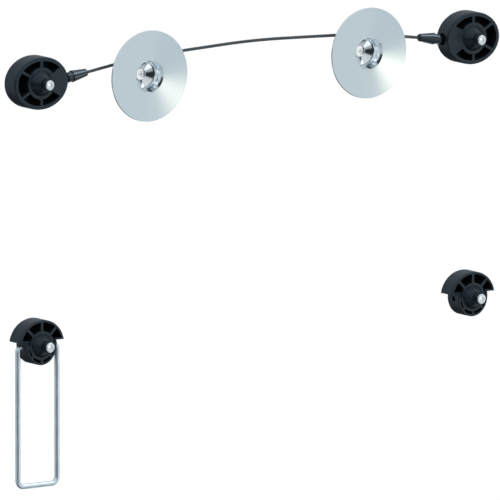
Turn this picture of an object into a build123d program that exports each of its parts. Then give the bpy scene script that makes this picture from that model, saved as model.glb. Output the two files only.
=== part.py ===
from build123d import *
import os
from math import atan2, cos, degrees, hypot, radians, sin, tan

# Cable-hung wall mount for a flat television, in millimetres.
# The origin is the centre of the 400 x 200 screw pattern, on the plane of the four housings' fronts.
# +X is to the right as the wall is faced, +Y goes to the wall, and +Z is up.
# The television is at -Y and the wall's face is at y = wall_y.

# Screw pattern, the wall's plane and the cable's plane
pattern_width = 400.0
pattern_height = 200.0
wall_y = 15.0
cable_y = 7.5
top_z = pattern_height / 2
bottom_z = -pattern_height / 2

# Oval top housings
oval_rx = 24.6
oval_rz = 20.1
housing_depth = 14.2
rim_wall_x = 3.1
rim_wall_z = 3.1
hub_radius = 12.2
pocket_depth = 11.0
rib_width = 2.0
rib_angles = (30, 90, 150, 210, 270, 330)
front_round = 1.2
back_round = 0.6

# Television screws, each through a spacer: a cone in front of the hub and a sleeve through it
stud_radius = 4.0
stud_stand_out = 11.5
stud_thread_end_y = -6.9
stud_neck_radius = 3.8
stud_chamfer = 0.7
stud_head_radius = 6.5
stud_head_height = 4.4
stud_key_across_flats = 5.0
stud_key_depth = 2.8
head_seat_y = 9.0
head_recess_radius = 7.2
sleeve_radius = 5.6
sleeve_bore_radius = 4.2
sleeve_fit = 0.05
cone_base_radius = 9.5
cone_tip_radius = 5.1
cone_tip_y = -6.5
cone_seat_depth = 0.6
cone_fit = 0.2

# Rubber pads on the backs of the housings
pad_inset = 0.4
pad_margin = 2.2
pad_fit = 0.1
pad_hole_radius = 7.5

# Round bottom housings with a half hood
body_rx = 13.8
body_rz = 15.0
bottom_hub_radius = 11.0
body_wall = 1.7
hood_rx = 20.5
hood_rz = 19.5
hood_wall = 1.8
hood_floor_z = 3.2
hood_floor_wall = 1.4
bottom_rib_angles = (45, 90, 135, 225, 270, 315)
bottom_front_round = 0.7
side_rib_width = 3.0
side_rib_z = -0.7
side_boss_width = 5.4
side_boss_y = 3.2
bottom_cone_base_radius = 8.8

# Wire kickstand on the left bottom housing
loop_wire_radius = 2.0
loop_half_width = 17.9
loop_drop = 106.4
loop_y = 6.4
loop_z = -1.0
loop_bend = 5.0
loop_top_bend = 3.2
loop_hole_radius = 2.05
loop_hole_end = 10.0
loop_end_x = 10.4

# Wall wheels: a turned spool and a coned guard disc that turn on a fixed bush
wheel_x = 101.6
wheel_z = 97.2
disc_radius = 34.8
disc_bore = 12.6
disc_front_y = -1.35
disc_cone = 0.25
disc_thickness = 1.2
disc_edge = 0.25
spool_mouth_radius = 12.3
spool_neck_radius = 12.55
spool_lip_chamfer = 0.1
spool_shoulder_radius = 14.6
spool_shoulder_y = 0.05
spool_front_y = -1.45
spool_back_y = 14.2
groove_radius = 11.9
groove_half_width = 3.5
flange_radius = 16.4
spool_bore_radius = 8.5
spool_counterbore_radius = 10.45
counterbore_floor_y = 9.5
bush_radius = 8.45
bush_flange_radius = 10.1
bush_ring_radius = 9.4
bush_front_y = 8.1
bush_flange_y = 9.3
bush_hole_radius = 3.1
seat_radius = 4.6
seat_y = 10.9
seat_end_y = 12.65
washer_bore_radius = 8.6
washer_radius = 16.2
washer_front_y = 14.4

# Wall screws
wall_screw_radius = 2.5
wall_screw_head_radius = 4.35
wall_screw_head_y = 11.0
wall_screw_neck_radius = 2.3
wall_screw_neck_y = 12.8
wall_screw_end_y = 42.0
wall_screw_tip = 4.0
cross_width = 1.1
cross_span = 5.0
cross_depth = 1.1

# Cable: the route's points as (x, z), half of the span, mirrored for the other half
cable_radius = 1.25
cable_half_route = ((-187.0, 98.75), (-145.0, 105.0), (-101.6, 111.0), (-54.0, 113.05))
cable_middle = (0.0, 115.05)
arc_share = 0.45

# Cable ends: swaged stop, gland tube and tapered boot, all on the cable's first run
bore_fit = 0.1
stop_radius = 3.2
stop_from = -3.5
stop_to = 3.5
gland_radius = 2.75
gland_to = 15.2
collar_radius = 3.9
collar_to = 19.7
boot_radius = 4.55
boot_tip_radius = 2.9
boot_to = 33.7
boot_chamfer = 0.9
entry_radius = 3.4
entry_recess_radius = 4.7
entry_recess_depth = 4.2
stop_room = 0.7


def slab(sketch, y_from, y_to):
    """A flat sketch drawn in X and Z, made solid between two Y planes."""
    return Pos(0, y_to, 0) * extrude(Plane.XZ * sketch, amount=y_to - y_from)


def turned(points):
    """A closed (radius, y) outline turned about the Y axis."""
    return revolve(make_face(Polyline(*points, close=True)), Axis.Y)


def rib_set(angles, length, width):
    """Straight ribs from the centre outwards, as one sketch."""
    ribs = Sketch()
    for angle in angles:
        ribs += Rot(0, 0, angle) * Pos(length / 2, 0) * Rectangle(length, width)
    return ribs


def edges_on(solid, y):
    """The edges that lie in one Y plane."""
    return solid.edges().filter_by(lambda e: abs(e.center().Y - y) < 1e-3 and e.bounding_box().size.Y < 1e-3)


def hub_cuts(base_radius):
    """What is cut from every hub: sleeve bore, head recess and the shallow seat for the spacer's cone."""
    bore = slab(Circle(sleeve_radius + sleeve_fit), -1, head_seat_y)
    recess = slab(Circle(head_recess_radius), head_seat_y, wall_y)
    return bore + recess + slab(Circle(base_radius + cone_fit), -1, cone_seat_depth)


def cable_line(side):
    """Start and direction of the cable's first run about its own housing, at the left (-1) or right (1)."""
    (x0, z0), (x1, z1) = cable_half_route[:2]
    run = hypot(x1 - x0, z1 - z0)
    start = Vector(-side * (x0 + pattern_width / 2), cable_y, z0 - top_z)
    direction = Vector(-side * (x1 - x0) / run, 0, (z1 - z0) / run)
    return start, direction


def along_cable(side, radius, start, end, tip_radius=None):
    """A round solid on the cable's first run, between two distances from the cable's end."""
    origin, direction = cable_line(side)
    plane = Plane(origin=origin + direction * start, z_dir=direction)
    if tip_radius is None:
        return plane * extrude(Circle(radius), amount=end - start)
    return plane * loft([Circle(radius), Pos(0, 0, end - start) * Circle(tip_radius)])


def top_housing(side):
    """Oval ribbed housing. side is -1 for the left one, whose cable leaves towards +X."""
    body = slab(Ellipse(oval_rx, oval_rz), 0, housing_depth)
    body = fillet(edges_on(body, 0), front_round)
    body = fillet(edges_on(body, housing_depth), back_round)
    wedge_reach = 3 * oval_rx
    wedge = make_face(
        Polyline(
            (0, 0),
            (wedge_reach * cos(radians(30)), wedge_reach * sin(radians(30))),
            (wedge_reach * cos(radians(30)), -wedge_reach * sin(radians(30))),
            close=True,
        )
    )
    pockets = Ellipse(oval_rx - rim_wall_x, oval_rz - rim_wall_z) - Circle(hub_radius)
    pockets -= rib_set(rib_angles, 2 * oval_rx, rib_width)
    pockets -= wedge
    if side > 0:
        pockets = mirror(pockets, Plane.YZ)
    body -= slab(pockets, -1, pocket_depth)
    body -= hub_cuts(cone_base_radius)
    body -= slab(Ellipse(oval_rx - pad_margin + pad_fit, oval_rz - pad_margin + pad_fit),
                 housing_depth - pad_inset, wall_y)
    origin, direction = cable_line(side)
    body -= along_cable(side, entry_radius, stop_to, oval_rx)
    tip_distance = (pattern_width / 2 + cable_half_route[0][0] - oval_rx) / abs(direction.X)
    body -= along_cable(side, entry_recess_radius, -tip_distance - entry_recess_depth, oval_rx)
    room = Box(stop_to - stop_from + 2 * stop_room, wall_y, 2 * (stop_radius + stop_room))
    tilt = degrees(atan2(direction.Z, abs(direction.X)))
    room = Rot(0, side * tilt, 0) * Pos(0, cable_y - stop_radius - stop_room + wall_y / 2, 0) * room
    body -= Pos(origin.X, 0, origin.Z) * room
    return body


def above(z, sketch):
    """The part of a flat sketch that is above a height."""
    return sketch & Pos(0, z + hood_rz) * Rectangle(3 * hood_rx, 2 * hood_rz)


def bottom_housing():
    """Round ribbed body with a half hood over it and a hole in each side for the kickstand's wire."""
    body = slab(Ellipse(body_rx, body_rz) + above(hood_floor_z, Ellipse(hood_rx, hood_rz)), 0, housing_depth)
    body = fillet(edges_on(body, 0), bottom_front_round)
    pockets = above(hood_floor_z + hood_floor_wall, Ellipse(hood_rx - hood_wall, hood_rz - hood_wall))
    pockets += Ellipse(body_rx - body_wall, body_rz - body_wall)
    pockets -= Circle(bottom_hub_radius)
    pockets -= rib_set(bottom_rib_angles, 2 * hood_rx, rib_width)
    pockets -= Pos(0, side_rib_z) * Rectangle(2 * hood_rx, side_rib_width)
    body -= slab(pockets, -1, side_boss_y)
    body -= slab(pockets - Pos(0, loop_z) * Rectangle(2 * hood_rx, side_boss_width), -1, pocket_depth)
    body -= hub_cuts(bottom_cone_base_radius)
    body -= slab(Ellipse(body_rx - pad_margin + pad_fit, body_rz - pad_margin + pad_fit),
                 housing_depth - pad_inset, wall_y)
    hole = Cylinder(loop_hole_radius, body_rx, rotation=(0, 90, 0))
    for side in (-1, 1):
        body -= Pos(side * (loop_hole_end + body_rx / 2), loop_y, loop_z) * hole
    return body


def spacer(base_radius):
    """Cone that stands against the television round its screw, and the sleeve behind it through the hub."""
    return turned(
        [
            (sleeve_bore_radius, cone_tip_y),
            (cone_tip_radius, cone_tip_y),
            (base_radius, 0),
            (base_radius, cone_seat_depth),
            (sleeve_radius, cone_seat_depth),
            (sleeve_radius, head_seat_y),
            (sleeve_bore_radius, head_seat_y),
        ]
    )


def stud():
    """Television screw: threaded shank standing out of the front face, socket head in the back recess."""
    shank = turned(
        [
            (0, -stud_stand_out),
            (stud_radius - stud_chamfer, -stud_stand_out),
            (stud_radius, -stud_stand_out + stud_chamfer),
            (stud_radius, stud_thread_end_y),
            (stud_neck_radius, stud_thread_end_y),
            (stud_neck_radius, head_seat_y),
            (0, head_seat_y),
        ]
    )
    head = slab(Circle(stud_head_radius), head_seat_y, head_seat_y + stud_head_height)
    head = fillet(edges_on(head, head_seat_y + stud_head_height), 1.6)
    key = RegularPolygon(stud_key_across_flats / 2, 6, major_radius=False)
    key_hole = slab(key, head_seat_y + stud_head_height - stud_key_depth, wall_y)
    return shank + head - key_hole


def pad(sketch):
    """Soft pad that rests on the wall, with a hole that leaves the screw's head within reach."""
    return slab(sketch - Circle(pad_hole_radius), housing_depth - pad_inset, wall_y)


def end_stop(side):
    """Stop swaged on the cable's end, caught inside the top housing."""
    stop = along_cable(side, stop_radius, stop_from, stop_to)
    stop = chamfer(stop.edges().filter_by(GeomType.CIRCLE), 0.4)
    return stop - along_cable(side, cable_radius, 0, stop_to + 1)


def gland(side):
    """Tube round the cable where it enters the top housing."""
    return along_cable(side, gland_radius, stop_to, gland_to) - along_cable(
        side, cable_radius + bore_fit, stop_to - 1, gland_to + 1
    )


def boot(side):
    """Tapered boot with a smaller collar towards the housing and a chamfered tip."""
    taper_end = boot_to - boot_chamfer
    body = along_cable(side, collar_radius, gland_to, collar_to)
    body += along_cable(side, boot_radius, collar_to, taper_end, boot_tip_radius)
    body += along_cable(side, boot_tip_radius, taper_end, boot_to, boot_tip_radius - 0.8)
    return body - along_cable(side, cable_radius + bore_fit, gland_to - 1, boot_to + 1)


def cable_route():
    """All the route's points, left to right."""
    left = [(x, z) for x, z in cable_half_route]
    right = [(-x, z) for x, z in reversed(cable_half_route)]
    return [Vector(x, cable_y, z) for x, z in left + [cable_middle] + right]


def cable():
    """Wire rope laid over both spools: straight runs joined by tangent arcs."""
    points = cable_route()
    radii = []
    for before, at, after in zip(points, points[1:], points[2:]):
        turn = (at - before).get_angle(after - at)
        shorter = min((at - before).length, (after - at).length)
        radii.append(arc_share * shorter / tan(radians(turn / 2)))
    print("cable arc radii", [round(r) for r in radii])
    path = FilletPolyline(*points, radius=radii)
    start = Plane(origin=path @ 0, z_dir=path % 0)
    tube = sweep(start * Circle(cable_radius), path=path)
    section = Circle(cable_radius).area
    print("cable length", round(path.length, 1), "volume over section times length",
          round(tube.volume / (section * path.length), 4))
    return tube


def kickstand():
    """Wire loop hanging from the left bottom housing, its two ends turned in to the side holes."""
    w = loop_half_width
    corners = [
        (-loop_end_x, loop_y, loop_z),
        (-w, loop_y, loop_z),
        (-w, loop_y, loop_z - loop_drop),
        (w, loop_y, loop_z - loop_drop),
        (w, loop_y, loop_z),
        (loop_end_x, loop_y, loop_z),
    ]
    path = FilletPolyline(*corners, radius=[loop_top_bend, loop_bend, loop_bend, loop_top_bend])
    return sweep(Plane(origin=path @ 0, z_dir=path % 0) * Circle(loop_wire_radius), path=path)


def guard_disc():
    """Thin coned disc: its middle stands nearer the television than its rim."""
    rim_y = disc_front_y + disc_cone
    return turned(
        [
            (disc_bore, disc_front_y),
            (disc_radius - disc_edge, rim_y),
            (disc_radius, rim_y + disc_edge),
            (disc_radius, rim_y + disc_thickness - disc_edge),
            (disc_radius - disc_edge, rim_y + disc_thickness),
            (disc_bore, disc_front_y + disc_thickness),
        ]
    )


def spool():
    """Turned wheel: tapered cup open to the front, rope groove outside, bore for the bush behind."""
    groove_front = cable_y - groove_half_width
    groove_back = cable_y + groove_half_width
    front = Polyline(
        (spool_bore_radius, spool_back_y),
        (spool_bore_radius, counterbore_floor_y),
        (spool_counterbore_radius, counterbore_floor_y),
        (spool_counterbore_radius, bush_front_y - 0.3),
        (spool_mouth_radius, spool_front_y),
        (spool_neck_radius - spool_lip_chamfer, spool_front_y),
        (spool_neck_radius, spool_front_y + spool_lip_chamfer),
        (spool_neck_radius, spool_shoulder_y),
        (spool_shoulder_radius, spool_shoulder_y),
        (spool_shoulder_radius, groove_front),
    )
    groove = ThreePointArc(
        (spool_shoulder_radius, groove_front), (groove_radius, cable_y), (spool_shoulder_radius, groove_back)
    )
    back = Polyline(
        (spool_shoulder_radius, groove_back),
        (flange_radius, groove_back + 0.6),
        (flange_radius, spool_back_y),
        (spool_bore_radius, spool_back_y),
    )
    return revolve(make_face(front + groove + back), Axis.Y)


def bush():
    """Fixed bush clamped to the wall: the spool turns on it, and its front flange keeps the spool on."""
    return turned(
        [
            (bush_ring_radius, bush_front_y),
            (bush_flange_radius, bush_front_y),
            (bush_flange_radius, bush_flange_y),
            (bush_radius, bush_flange_y),
            (bush_radius, wall_y),
            (bush_hole_radius, wall_y),
            (bush_hole_radius, seat_end_y),
            (seat_radius, seat_y),
        ]
    )


def washer():
    """Thin washer between the spool and the wall."""
    return slab(Circle(washer_radius) - Circle(washer_bore_radius), washer_front_y, wall_y)


def wall_screw():
    """Countersunk wall screw with a cross recess."""
    screw = turned(
        [
            (0, wall_screw_head_y),
            (wall_screw_head_radius, wall_screw_head_y),
            (wall_screw_neck_radius, wall_screw_neck_y),
            (wall_screw_neck_radius, wall_y),
            (wall_screw_radius, wall_y),
            (wall_screw_radius, wall_screw_end_y),
            (0.3, wall_screw_end_y + wall_screw_tip),
            (0, wall_screw_end_y + wall_screw_tip),
        ]
    )
    cross = Rectangle(cross_span, cross_width) + Rectangle(cross_width, cross_span)
    return screw - slab(cross, wall_screw_head_y - 1, wall_screw_head_y + cross_depth)


def build():
    """Every node of the object in its place, by name."""
    nodes = {}
    for name, side in (("left", -1), ("right", 1)):
        at_top = Pos(side * pattern_width / 2, 0, top_z)
        nodes[f"{name}_top_housing"] = at_top * top_housing(side)
        nodes[f"{name}_top_spacer"] = at_top * spacer(cone_base_radius)
        nodes[f"{name}_top_screw"] = at_top * stud()
        nodes[f"{name}_top_pad"] = at_top * pad(Ellipse(oval_rx - pad_margin, oval_rz - pad_margin))
        nodes[f"{name}_end_stop"] = at_top * end_stop(side)
        nodes[f"{name}_gland"] = at_top * gland(side)
        nodes[f"{name}_boot"] = at_top * boot(side)
        at_wheel = Pos(side * wheel_x, 0, wheel_z)
        nodes[f"{name}_guard_disc"] = at_wheel * guard_disc()
        nodes[f"{name}_spool"] = at_wheel * spool()
        nodes[f"{name}_bush"] = at_wheel * bush()
        nodes[f"{name}_washer"] = at_wheel * washer()
        nodes[f"{name}_wall_screw"] = at_wheel * wall_screw()
        at_bottom = Pos(side * pattern_width / 2, 0, bottom_z)
        nodes[f"{name}_bottom_housing"] = at_bottom * bottom_housing()
        nodes[f"{name}_bottom_spacer"] = at_bottom * spacer(bottom_cone_base_radius)
        nodes[f"{name}_bottom_screw"] = at_bottom * stud()
        nodes[f"{name}_bottom_pad"] = at_bottom * pad(Ellipse(body_rx - pad_margin, body_rz - pad_margin))
    nodes["kickstand_loop"] = Pos(-pattern_width / 2, 0, bottom_z) * kickstand()
    nodes["cable"] = cable()
    return nodes


os.makedirs("parts", exist_ok=True)
for node, shape in build().items():
    export_step(shape, f"parts/{node}.step")
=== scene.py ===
"""Looks of the cable-hung television wall mount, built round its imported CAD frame. Metres, +Z up."""
import math

import bmesh
import bpy
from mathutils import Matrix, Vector


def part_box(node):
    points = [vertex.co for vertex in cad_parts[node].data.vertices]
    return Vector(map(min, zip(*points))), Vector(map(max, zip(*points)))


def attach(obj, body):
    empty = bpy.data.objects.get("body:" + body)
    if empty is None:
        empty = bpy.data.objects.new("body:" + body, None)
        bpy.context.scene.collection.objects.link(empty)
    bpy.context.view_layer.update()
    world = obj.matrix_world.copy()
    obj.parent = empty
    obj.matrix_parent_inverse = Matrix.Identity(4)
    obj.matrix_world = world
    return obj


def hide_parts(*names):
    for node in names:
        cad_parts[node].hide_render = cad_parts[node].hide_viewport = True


MM = 0.001
TAU = 2 * math.pi

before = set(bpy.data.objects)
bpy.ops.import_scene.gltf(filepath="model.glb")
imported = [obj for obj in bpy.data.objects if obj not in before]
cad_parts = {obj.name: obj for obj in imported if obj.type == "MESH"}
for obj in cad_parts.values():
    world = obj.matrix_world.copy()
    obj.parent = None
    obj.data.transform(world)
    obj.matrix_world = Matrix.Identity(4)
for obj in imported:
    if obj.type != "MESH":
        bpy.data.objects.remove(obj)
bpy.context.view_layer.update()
scene = bpy.context.scene


# ---------------------------------------------------------------- camera
CAMERA_AZIMUTH = -35.07
CAMERA_ELEVATION = 9.07
CAMERA_DISTANCE = 16.859
CAMERA_LENS = 1600
CAMERA_AIM = Vector((-0.00964, -0.00174, -0.04415))


def direction(azimuth, elevation):
    """Unit vector towards an azimuth and elevation, as the views count them."""
    a, e = math.radians(azimuth), math.radians(elevation)
    return Vector((math.sin(a) * math.cos(e), -math.cos(a) * math.cos(e), math.sin(e)))


def make_camera():
    data = bpy.data.cameras.new("camera")
    data.lens = CAMERA_LENS
    data.sensor_width = 36
    data.clip_start = 0.1
    data.clip_end = 100
    camera = bpy.data.objects.new("camera", data)
    back = direction(CAMERA_AZIMUTH, CAMERA_ELEVATION)
    camera.location = CAMERA_AIM + back * CAMERA_DISTANCE
    camera.rotation_mode = "QUATERNION"
    camera.rotation_quaternion = (-back).to_track_quat("-Z", "Y")
    scene.collection.objects.link(camera)
    scene.camera = camera


make_camera()


# ---------------------------------------------------------------- the cable's route, in metres
CABLE_Y = 0.0075
CABLE_DIAMETER = 0.0025
HALF_ROUTE = [(-0.187, 0.09875), (-0.145, 0.105), (-0.1016, 0.111), (-0.054, 0.11305)]
ROUTE = HALF_ROUTE + [(0.0, 0.11505)] + [(-x, z) for x, z in reversed(HALF_ROUTE)]


def cable_line():
    """Points of the route's own smooth spline, left to right."""
    curve = bpy.data.curves.new("route", "CURVE")
    curve.dimensions = "3D"
    spline = curve.splines.new("NURBS")
    spline.points.add(len(ROUTE) - 1)
    for point, (x, z) in zip(spline.points, ROUTE):
        point.co = (x, CABLE_Y, z, 1)
    spline.order_u = 3
    spline.use_endpoint_u = True
    spline.resolution_u = 48
    holder = bpy.data.objects.new("route", curve)
    mesh = bpy.data.meshes.new_from_object(holder)
    points = [v.co.copy() for v in mesh.vertices]
    bpy.data.objects.remove(holder)
    bpy.data.curves.remove(curve)
    bpy.data.meshes.remove(mesh)
    return points


# ---------------------------------------------------------------- node helpers
def add_node(tree, kind, inputs=None, **settings):
    """A new node whose inputs are linked to sockets or set to values."""
    made = tree.nodes.new(kind)
    for key, value in settings.items():
        setattr(made, key, value)
    for key, value in (inputs or {}).items():
        if isinstance(value, bpy.types.NodeSocket):
            tree.links.new(value, made.inputs[key])
        else:
            made.inputs[key].default_value = value
    return made


NOISE_LOW, NOISE_HIGH = 0.3, 0.7


class Shader:
    """A material with one Principled BSDF and short calls for the nodes that feed it."""

    def __init__(self, name, colour, roughness, metallic=0.0, **sockets):
        self.material = bpy.data.materials.new(name)
        self.material.use_nodes = True
        self.tree = self.material.node_tree
        self.bsdf = self.tree.nodes["Principled BSDF"]
        self.colour = (*colour, 1)
        self.set("Base Color", self.colour)
        self.set("Roughness", roughness)
        self.set("Metallic", metallic)
        for socket, value in sockets.items():
            self.set(socket.replace("_", " "), value)

    def set(self, socket, value):
        self.bsdf.inputs[socket].default_value = value

    def feed(self, socket, output):
        self.tree.links.new(output, self.bsdf.inputs[socket])

    def node(self, kind, inputs=None, **settings):
        return add_node(self.tree, kind, inputs, **settings)

    def place(self, offset=(0, 0, 0), scale=(1, 1, 1)):
        """The piece's own coordinates, moved by offset and then scaled."""
        source = self.node("ShaderNodeTexCoord").outputs["Object"]
        moved = self.node("ShaderNodeVectorMath", {0: source, 1: offset}, operation="SUBTRACT").outputs[0]
        return self.node("ShaderNodeVectorMath", {0: moved, 1: scale}, operation="MULTIPLY").outputs[0]

    def noise(self, scale, detail=2.0, stretch=(1, 1, 1), rough=0.5):
        return self.node(
            "ShaderNodeTexNoise",
            {"Vector": self.place(scale=stretch), "Scale": scale, "Detail": detail, "Roughness": rough},
        ).outputs["Fac"]

    def ramp(self, value, low, high, to_low, to_high):
        return self.node(
            "ShaderNodeMapRange",
            {"Value": value, "From Min": low, "From Max": high, "To Min": to_low, "To Max": to_high},
        ).outputs["Result"]

    def clouds(self, noise):
        """A noise stretched so that its usual range fills 0 to 1."""
        return self.ramp(noise, NOISE_LOW, NOISE_HIGH, 0, 1)

    def math(self, operation, a, b=0.0):
        return self.node("ShaderNodeMath", {0: a, 1: b}, operation=operation).outputs[0]

    def mix(self, value, under, over):
        """Colour between under, where value is 0, and over, where it is 1."""
        return self.node("ShaderNodeMix", {"Factor": value, 6: under, 7: over}, data_type="RGBA").outputs[2]

    def tint(self, value, amount):
        """Base colour varied by a 0 to 1 value, from darker to lighter by amount."""
        dark = tuple(c * (1 - amount) for c in self.colour[:3]) + (1,)
        light = tuple(min(1, c * (1 + amount)) for c in self.colour[:3]) + (1,)
        return self.mix(value, dark, light)

    def bump(self, height, distance, below=None):
        inputs = {"Height": height, "Distance": distance}
        if below is not None:
            inputs["Normal"] = below
        return self.node("ShaderNodeBump", inputs).outputs["Normal"]


def edge_mask(shader, radius):
    """1 near a convex or concave edge, 0 on the flats."""
    rounded = shader.node("ShaderNodeBevel", {"Radius": radius}, samples=4).outputs["Normal"]
    flat = shader.node("ShaderNodeNewGeometry").outputs["Normal"]
    same = shader.node("ShaderNodeVectorMath", {0: rounded, 1: flat}, operation="DOT_PRODUCT")
    return shader.ramp(shader.math("SUBTRACT", 1.0, same.outputs["Value"]), 0.0, 0.25, 0.0, 1.0)


def moulded(name, colour, roughness, grain, depth, edge=None, **sockets):
    """Moulded plastic or rubber with fine grain and cloudy gloss; the edge colour is painted lighter along
    edges, a painted highlight broken up like wear.
    """
    s = Shader(name, colour, roughness, **sockets)
    clouds = s.noise(60, 3)
    s.feed("Roughness", s.ramp(clouds, NOISE_LOW, NOISE_HIGH, roughness - 0.06, roughness + 0.06))
    body = s.tint(s.clouds(clouds), 0.12)
    if edge:
        # painted highlight mixed with wear: lighter colour along convex and concave edges
        mask = edge_mask(s, 0.35 * MM)
        edge_highlight_and_wear = s.math("MULTIPLY", mask, s.ramp(s.noise(300, 2), 0.35, 0.6, 0.45, 1.0))
        body = s.mix(edge_highlight_and_wear, body, (*edge, 1))
    s.feed("Base Color", body)
    coarse = s.bump(s.noise(grain, 2, rough=0.6), depth)
    s.feed("Normal", s.bump(s.noise(grain / 6, 1), depth * 0.6, below=coarse))
    return s.material


def turned_steel(name, colour, roughness, centre, pitch, depth, spread, lean=0.0):
    """Lathe-turned steel: rings about the wheel's axis through centre, with uneven gloss from ring to ring.

    spread is how far the gloss varies, and lean is the outward slope of the feed marks' faces, in degrees.
    """
    s = Shader(name, colour, roughness, metallic=1.0)
    about = s.place(offset=centre)
    flat = s.node("ShaderNodeVectorMath", {0: about, 1: (1, 0, 1)}, operation="MULTIPLY").outputs[0]
    radius = s.node("ShaderNodeVectorMath", {0: flat}, operation="LENGTH").outputs["Value"]
    depth_y = s.node("ShaderNodeSeparateXYZ", {0: about}).outputs["Y"]
    along = s.math("ADD", radius, depth_y)

    def rings(width, detail):
        place = s.math("MULTIPLY", along, 1 / width)
        inputs = {"W": place, "Scale": 1.0, "Detail": detail}
        return s.node("ShaderNodeTexNoise", inputs, noise_dimensions="1D").outputs["Fac"]

    line = rings(pitch, 2.0)
    band = rings(12 * pitch, 1.0)
    s.feed("Roughness", s.ramp(band, NOISE_LOW, NOISE_HIGH, roughness - spread, roughness + spread))
    s.feed("Base Color", s.tint(s.clouds(line), 0.008))
    smear = s.noise(35, 3)
    turned = s.bump(line, depth, below=s.bump(smear, depth * 2))
    if lean:
        turned = s.bump(s.math("MULTIPLY", radius, -1), math.tan(math.radians(lean)), below=turned)
    s.feed("Normal", turned)
    return s.material


def drawn_steel(name, colour, roughness):
    """Zinc-plated or drawn steel: fine scratches both ways and cloudy gloss."""
    s = Shader(name, colour, roughness, metallic=1.0)
    clouds = s.noise(140, 3)
    s.feed("Base Color", s.tint(s.clouds(clouds), 0.08))
    along_z = s.noise(2500, 2, stretch=(1, 1, 0.04))
    along_x = s.noise(2500, 2, stretch=(0.04, 1, 1))
    s.feed("Roughness", s.ramp(along_z, NOISE_LOW, NOISE_HIGH, roughness - 0.06, roughness + 0.08))
    s.feed("Normal", s.bump(along_z, 0.01 * MM, below=s.bump(along_x, 0.008 * MM)))
    return s.material


# ---------------------------------------------------------------- materials on the CAD nodes
def axis_of(name):
    """Point where the axis of a round node, which runs along Y, crosses the plane y = 0."""
    low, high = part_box(name)
    return Vector(((low.x + high.x) / 2, 0, (low.z + high.z) / 2))


BLUISH = (0.52, 0.78, 1.0, 1)
# the edge colour is a painted highlight with some wear along the housings' edges
plastic = moulded("black_plastic", (0.0075, 0.0115, 0.0155), 0.42, 3000, 0.02 * MM,
                  edge=(0.018, 0.026, 0.034), Specular_IOR_Level=0.44, Specular_Tint=BLUISH)
spacer_plastic = moulded("spacer_plastic", (0.0068, 0.0105, 0.0145), 0.34, 3500, 0.01 * MM,
                         Specular_IOR_Level=0.40, Specular_Tint=BLUISH)
boot_plastic = moulded("boot_plastic", (0.006, 0.010, 0.014), 0.14, 2500, 0.003 * MM,
                       Specular_IOR_Level=0.5, IOR=1.6, Specular_Tint=(0.7, 0.88, 1.0, 1))
rubber = moulded("rubber", (0.013, 0.0135, 0.014), 0.85, 1400, 0.05 * MM, Specular_IOR_Level=0.3)
washer_plastic = moulded("washer_plastic", (0.05, 0.05, 0.052), 0.6, 2000, 0.02 * MM)
zinc = drawn_steel("zinc_screw", (0.66, 0.72, 0.76), 0.26)
bright_zinc = drawn_steel("bright_zinc", (0.90, 0.94, 0.96), 0.17)


def screw_with_painted_dark_shank(name, bright_end, blend):
    """Screw whose shank, behind the plane y = bright_end, is painted near-black as painted shade, and whose
    cut end in front of that plane is bare and bright.
    """
    s = Shader(name, (0.62, 0.70, 0.75), 0.3, metallic=1.0)
    y = s.node("ShaderNodeSeparateXYZ", {0: s.place()}).outputs["Y"]
    black = s.ramp(y, bright_end - blend / 2, bright_end + blend / 2, 0.0, 1.0)
    bright = s.tint(s.clouds(s.noise(500, 3)), 0.08)
    # painted shade: near-black colour on the shank behind bright_end
    s.feed("Base Color", s.mix(black, bright, (0.022, 0.030, 0.038, 1)))
    s.feed("Roughness", s.ramp(black, 0.0, 1.0, 0.28, 0.42))
    s.feed("Normal", s.bump(s.noise(4000, 2), 0.006 * MM))
    return s.material


television_screw_steel = screw_with_painted_dark_shank("television_screw", -10.85 * MM, 0.3 * MM)
rope_steel = drawn_steel("wire_rope", (0.10, 0.112, 0.12), 0.34)
loop_steel = drawn_steel("loop_steel", (0.58, 0.69, 0.76), 0.40)

DISC_COLOUR = (0.555, 0.66, 0.705)
# painted highlight and shade: the spool's turned steel is coloured brighter and the bush's darker, standing
# in for the bright cup wall and the greyer bush
SPOOL_STEEL_WITH_PAINTED_HIGHLIGHT = (0.83, 0.89, 0.93)
BUSH_STEEL_WITH_PAINTED_SHADE = (0.56, 0.62, 0.65)
STEEL = {}
for side in ("left", "right"):
    centre = tuple(axis_of(side + "_bush"))
    STEEL[side, "disc"] = turned_steel(
        "disc_steel_" + side, DISC_COLOUR, 0.09, centre,
        pitch=0.16 * MM, depth=0.00004 * MM, spread=0.006, lean=2.2,
    )
    STEEL[side, "spool"] = turned_steel(
        "spool_steel_" + side, SPOOL_STEEL_WITH_PAINTED_HIGHLIGHT, 0.08, centre, pitch=0.22 * MM, depth=0.0005 * MM, spread=0.02,
    )
    STEEL[side, "bush"] = turned_steel(
        "bush_steel_" + side, BUSH_STEEL_WITH_PAINTED_SHADE, 0.10, centre, pitch=0.2 * MM, depth=0.0005 * MM, spread=0.02,
    )

FINISH = {
    "kickstand_loop": loop_steel,
    "cable": rope_steel,
}
for side in ("left", "right"):
    FINISH.update({
        side + "_top_housing": plastic,
        side + "_bottom_housing": plastic,
        side + "_top_spacer": spacer_plastic,
        side + "_bottom_spacer": spacer_plastic,
        side + "_top_screw": zinc,
        side + "_bottom_screw": zinc,
        side + "_top_pad": rubber,
        side + "_bottom_pad": rubber,
        side + "_end_stop": zinc,
        side + "_gland": boot_plastic,
        side + "_boot": boot_plastic,
        side + "_washer": washer_plastic,
        side + "_wall_screw": bright_zinc,
        side + "_guard_disc": STEEL[side, "disc"],
        side + "_spool": STEEL[side, "spool"],
        side + "_bush": STEEL[side, "bush"],
    })

for name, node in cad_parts.items():
    node.data.materials.clear()
    node.data.materials.append(FINISH[name])


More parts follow.
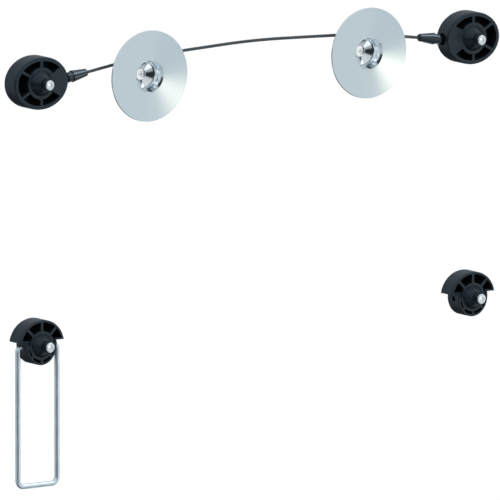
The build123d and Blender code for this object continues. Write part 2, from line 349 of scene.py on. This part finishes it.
# ---------------------------------------------------------------- meshes that stand for CAD nodes
SHARP_ANGLE = math.radians(35)


def skin(bm, rows):
    """Quads between each closed row of vertices and the next."""
    for a, b in zip(rows, rows[1:]):
        for i in range(len(a)):
            j = (i + 1) % len(a)
            bm.faces.new((a[i], a[j], b[j], b[i]))


def stand_in(bm, name, material, node, body):
    """Smooth piece made of bm, in the place of a CAD node."""
    bmesh.ops.recalc_face_normals(bm, faces=bm.faces)
    mesh = bpy.data.meshes.new(name)
    bm.to_mesh(mesh)
    bm.free()
    piece = bpy.data.objects.new(name, mesh)
    scene.collection.objects.link(piece)
    mesh.materials.append(material)
    mesh.shade_smooth()
    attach(piece, body)
    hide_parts(node)
    return piece


# ---------------------------------------------------------------- threaded screws; sizes in millimetres
def ring(centre, y, radius_at, count):
    """count points about the Y axis through centre; radius_at gives the radius at an angle."""
    made = []
    for i in range(count):
        angle = TAU * i / count
        reach = radius_at(angle) * MM
        x, z = centre.x + reach * math.cos(angle), centre.z + reach * math.sin(angle)
        made.append(Vector((x, y * MM, z)))
    return made


def ring_set(centre, count, outlines):
    """One ring for each (y, radius) pair; a radius is a number or a function of the angle."""
    return [ring(centre, y, r if callable(r) else round_of(r), count) for y, r in outlines]


def lofted(name, rings, material, node, body):
    """Closed skin through equal rings, ended by a fan at each end."""
    bm = bmesh.new()
    rows = [[bm.verts.new(p) for p in points] for points in rings]
    skin(bm, rows)
    for row in (rows[0], rows[-1]):
        middle = bm.verts.new(sum((v.co for v in row), Vector()) / len(row))
        for i in range(len(row)):
            bm.faces.new((row[i], row[(i + 1) % len(row)], middle))
    piece = stand_in(bm, name, material, node, body)
    piece.data.set_sharp_from_angle(angle=SHARP_ANGLE)
    return piece


def round_of(radius):
    return lambda angle: radius


def hexagon(across_flats):
    def radius(angle):
        local = (angle + math.pi / 6) % (math.pi / 3) - math.pi / 6
        return across_flats / 2 / math.cos(local)
    return radius


def cross(span, width):
    """Four-armed recess outline."""
    def radius(angle):
        c, s = abs(math.cos(angle)) + 1e-9, abs(math.sin(angle)) + 1e-9
        return max(min(span / 2 / c, width / 2 / s), min(span / 2 / s, width / 2 / c))
    return radius


def thread(root, crest, pitch, y, limit, sharp=1.0):
    """Radius of a screw thread at height y; limit caps it where the end is chamfered."""
    def radius(angle):
        phase = (y / pitch - angle / TAU) % 1.0
        ridge = max(0.0, 1 - abs(2 * phase - 1) * sharp)
        return min(limit, root + (crest - root) * min(1.0, ridge * 1.15))
    return radius


TELEVISION_SCREW_POINTS = 48
THREAD_ROOT = 3.27
THREAD_CREST = 4.0
THREAD_PITCH = 1.25
THREAD_STEP = 0.11
THREAD_END_Y = 3.0
SHANK_RADIUS = 3.9
HEAD_SEAT_Y = 9.0
HEAD_RADIUS = 6.5
HEAD_ROUND = 1.6
HEAD_ROUND_RINGS = 6
KEY_ACROSS_FLATS = 5.0
KEY_DEPTH = 2.8


def television_screw(name):
    """M8 screw with its thread, domed head and hexagon socket."""
    low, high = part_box(name)
    centre = axis_of(name)
    count = TELEVISION_SCREW_POINTS
    end, top = low.y / MM, high.y / MM
    # the dimple in the cut end, and the flat round it
    rings = ring_set(centre, count, [(end + 0.25, 1.2), (end + 0.02, 1.7), (end, 3.45)])
    y = end + 0.08
    while y < THREAD_END_Y:
        chamfer = 3.5 + (y - end)
        rings.append(ring(centre, y, thread(THREAD_ROOT, THREAD_CREST, THREAD_PITCH, y, chamfer), count))
        y += THREAD_STEP
    rings += ring_set(centre, count, [
        (THREAD_END_Y + 0.2, SHANK_RADIUS),
        (HEAD_SEAT_Y, SHANK_RADIUS),
        (HEAD_SEAT_Y, HEAD_RADIUS - 0.2),
        (HEAD_SEAT_Y + 0.2, HEAD_RADIUS),
        (top - HEAD_ROUND, HEAD_RADIUS),
    ])
    for k in range(1, HEAD_ROUND_RINGS + 1):
        t = k / HEAD_ROUND_RINGS * math.pi / 2
        y = top - HEAD_ROUND + HEAD_ROUND * math.sin(t)
        rings.append(ring(centre, y, round_of(HEAD_RADIUS - HEAD_ROUND + HEAD_ROUND * math.cos(t)), count))
    key = hexagon(KEY_ACROSS_FLATS)
    rings += ring_set(centre, count, [
        (top, 3.25),
        (top - 0.3, key),
        (top - KEY_DEPTH, key),
        (top - KEY_DEPTH - 0.1, 2.0),
    ])
    return lofted(name + "_threaded", rings, television_screw_steel, name, "television_side")


WALL_SCREW_POINTS = 72
WALL_HEAD_RADIUS = 4.35
WALL_SHANK_RADIUS = 2.3
WALL_THREAD_FROM_Y = 15.9
WALL_THREAD_ROOT = 1.7
WALL_THREAD_CREST = 2.5
WALL_THREAD_PITCH = 2.4
WALL_THREAD_STEP = 0.2
WALL_TAPER = 6.0


def wall_screw(name):
    """Countersunk wood screw with a cross recess and a tapered point."""
    low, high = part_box(name)
    centre = axis_of(name)
    count = WALL_SCREW_POINTS
    front, back = low.y / MM, high.y / MM
    rings = ring_set(centre, count, [
        (front + 1.0, 0.3),
        (front + 0.8, cross(2.6, 0.6)),
        (front, cross(4.2, 0.8)),
        (front, 3.6),
        (front + 0.05, WALL_HEAD_RADIUS - 0.15),
        (front + 0.2, WALL_HEAD_RADIUS),
        (front + 0.45, WALL_HEAD_RADIUS),
        (front + 1.8, WALL_THREAD_CREST),
        (WALL_THREAD_FROM_Y - 0.5, WALL_SHANK_RADIUS),
    ])
    y = WALL_THREAD_FROM_Y
    while y < back - 0.2:
        share = min(1.0, (back - y) / WALL_TAPER)
        crest = min(WALL_THREAD_CREST, 0.15 + WALL_THREAD_CREST * share)
        root = min(WALL_THREAD_ROOT, 0.1 + WALL_THREAD_ROOT * share)
        outline = thread(root, WALL_THREAD_CREST, WALL_THREAD_PITCH, y, crest, sharp=2.2)
        rings.append(ring(centre, y, outline, count))
        y += WALL_THREAD_STEP
    rings.append(ring(centre, back, round_of(0.1), count))
    return lofted(name + "_threaded", rings, bright_zinc, name, "wall_side")


for side in ("left", "right"):
    television_screw(side + "_top_screw")
    television_screw(side + "_bottom_screw")
    wall_screw(side + "_wall_screw")


# ---------------------------------------------------------------- wire rope
STRANDS = 6
ROPE_LAY = 18 * MM
STRAND_LAY = 8 * MM
STRAND_SIDES = 18
STRAND_WIRES = 6
WIRE_RELIEF = 0.12
CORE_SIDES = 8
CORE_EVERY = 3
CORE_SHARE = 1.02
ROPE_STEP = 0.75 * MM


def resampled(points, step):
    """Even points along a line, with the line's own direction at each."""
    lengths = [0.0]
    for a, b in zip(points, points[1:]):
        lengths.append(lengths[-1] + (b - a).length)
    count = round(lengths[-1] / step)
    made, k = [], 0
    for i in range(count + 1):
        at = lengths[-1] * i / count
        while k < len(points) - 2 and lengths[k + 1] < at:
            k += 1
        share = (at - lengths[k]) / (lengths[k + 1] - lengths[k])
        made.append((points[k].lerp(points[k + 1], share), at))
    out = []
    for i, (point, at) in enumerate(made):
        ahead = made[min(i + 1, count)][0] - made[max(i - 1, 0)][0]
        out.append((point, ahead.normalized(), at))
    return out


def closed_tube(bm, rows):
    """Skin through the rows, with a flat face at each end."""
    skin(bm, rows)
    bm.faces.new(rows[0])
    bm.faces.new(rows[-1])


def wire_rope():
    """Laid rope: a core, and strands of wires laid round it along the cable's route."""
    line = cable_line()
    steps = resampled(line, ROPE_STEP)
    strand_radius = CABLE_DIAMETER / 6
    core_radius = strand_radius * CORE_SHARE
    lay_radius = 2 * strand_radius
    to_wall = Vector((0, 1, 0))
    bm = bmesh.new()
    core = []
    for point, along, at in steps[::CORE_EVERY]:
        up = to_wall.cross(along).normalized()
        row = []
        for i in range(CORE_SIDES):
            t = TAU * i / CORE_SIDES
            row.append(bm.verts.new(point + (to_wall * math.cos(t) + up * math.sin(t)) * core_radius))
        core.append(row)
    closed_tube(bm, core)
    for strand in range(STRANDS):
        rows = []
        for point, along, at in steps:
            up = to_wall.cross(along).normalized()
            turn = TAU * (strand / STRANDS + at / ROPE_LAY)
            out = to_wall * math.cos(turn) + up * math.sin(turn)
            strand_along = (along + along.cross(out) * lay_radius * TAU / ROPE_LAY).normalized()
            across = strand_along.cross(out).normalized()
            middle = point + out * lay_radius
            row = []
            for i in range(STRAND_SIDES):
                t = TAU * i / STRAND_SIDES
                lobe = abs(math.sin(STRAND_WIRES / 2 * (t + TAU * at / STRAND_LAY)))
                reach = strand_radius * (1 - WIRE_RELIEF + WIRE_RELIEF * lobe)
                row.append(bm.verts.new(middle + (out * math.cos(t) + across * math.sin(t)) * reach))
            rows.append(row)
        closed_tube(bm, rows)
    piece = stand_in(bm, "wire_rope", rope_steel, "cable", "hung_cable")
    on_it = []
    for side in ("left", "right"):
        on_it += [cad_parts[side + part] for part in ("_end_stop", "_gland", "_boot")]
    return piece


wire_rope()


# ---------------------------------------------------------------- floor and light
FLOOR_Z = -0.42
FLOOR_SIZE = 60


def make_floor():
    bpy.ops.mesh.primitive_plane_add(size=FLOOR_SIZE, location=(0, 0, FLOOR_Z))
    floor = bpy.context.object
    floor.name = "floor"
    s = Shader("floor", (0.93, 0.93, 0.93), 0.9, Specular_IOR_Level=0.0)
    floor.data.materials.append(s.material)
    floor.visible_glossy = False
    floor.visible_diffuse = False


def make_world(base, patches):
    """Even studio light from all round, with soft bright or dark patches in chosen directions."""
    world = bpy.data.worlds.new("studio")
    world.use_nodes = True
    scene.world = world
    tree = world.node_tree
    tree.nodes.clear()

    def node(kind, inputs=None, **settings):
        return add_node(tree, kind, inputs, **settings)

    at = node("ShaderNodeTexCoord").outputs["Generated"]
    colour = (*base, 1)
    for azimuth, elevation, inner, outer, patch in patches:
        towards = tuple(direction(azimuth, elevation))
        near = node("ShaderNodeVectorMath", {0: at, 1: towards}, operation="DOT_PRODUCT")
        share = node(
            "ShaderNodeMapRange",
            {"Value": near.outputs["Value"], "From Min": math.cos(math.radians(outer)),
             "From Max": math.cos(math.radians(inner))},
            interpolation_type="SMOOTHSTEP",
        ).outputs["Result"]
        mixed = {"Factor": share, 6: colour, 7: (*patch, 1)}
        colour = node("ShaderNodeMix", mixed, data_type="RGBA").outputs[2]
    light = node("ShaderNodeBackground", {"Color": colour, "Strength": 1.0})
    seen = node("ShaderNodeBackground", {"Color": (1, 1, 1, 1), "Strength": 1.0})
    camera_ray = node("ShaderNodeLightPath").outputs["Is Camera Ray"]
    both = node("ShaderNodeMixShader", {0: camera_ray, 1: light.outputs[0], 2: seen.outputs[0]})
    node("ShaderNodeOutputWorld", {"Surface": both.outputs[0]})


STUDIO = (0.90, 0.90, 0.90)
# azimuth, elevation, full inside and gone outside, in degrees, then colour; each lies over those before it
PATCHES = [
    # overhead, underfoot and behind the object
    (0, 90, 20, 75, (1.15, 1.15, 1.15)),
    (0, -90, 20, 80, (0.16, 0.18, 0.20)),
    (180, 5, 25, 75, (0.55, 0.57, 0.60)),
    # low behind the object, a dark stretch, and a pale one to the right of it
    (165, -40, 15, 45, (0.08, 0.09, 0.10)),
    (118, -55, 8, 24, (0.85, 0.98, 1.05)),
    # small bright lamp, high on the right
    (56, 46, 5, 14, (6.6, 7.3, 7.8)),
    # dark side of the room, on the left
    (-75, -8, 8, 25, (0.12, 0.14, 0.15)),
    # pale floor in front, and the dark room at eye level round the camera
    (-2, -48, 6, 22, (1.6, 1.6, 1.6)),
    (-57, -9, 8, 20, (0.05, 0.06, 0.07)),
    (-25, -3, 10, 24, (0.03, 0.04, 0.045)),
    (-8, -15, 6, 16, (0.03, 0.04, 0.045)),
    (3, -1, 4, 13, (0.04, 0.05, 0.06)),
    # pale screen that the discs mirror, a dimmer spot on it, and a warm lamp at its edge
    (35, -9, 13, 20, (0.90, 0.90, 0.90)),
    (40.8, -4.4, 1.2, 6.7, (0.83, 0.84, 0.86)),
    (47.3, -15.8, 0, 9.8, (4.9, 4.1, 3.35)),
]

make_floor()
make_world(STUDIO, PATCHES)
scene.view_settings.view_transform = "Standard"
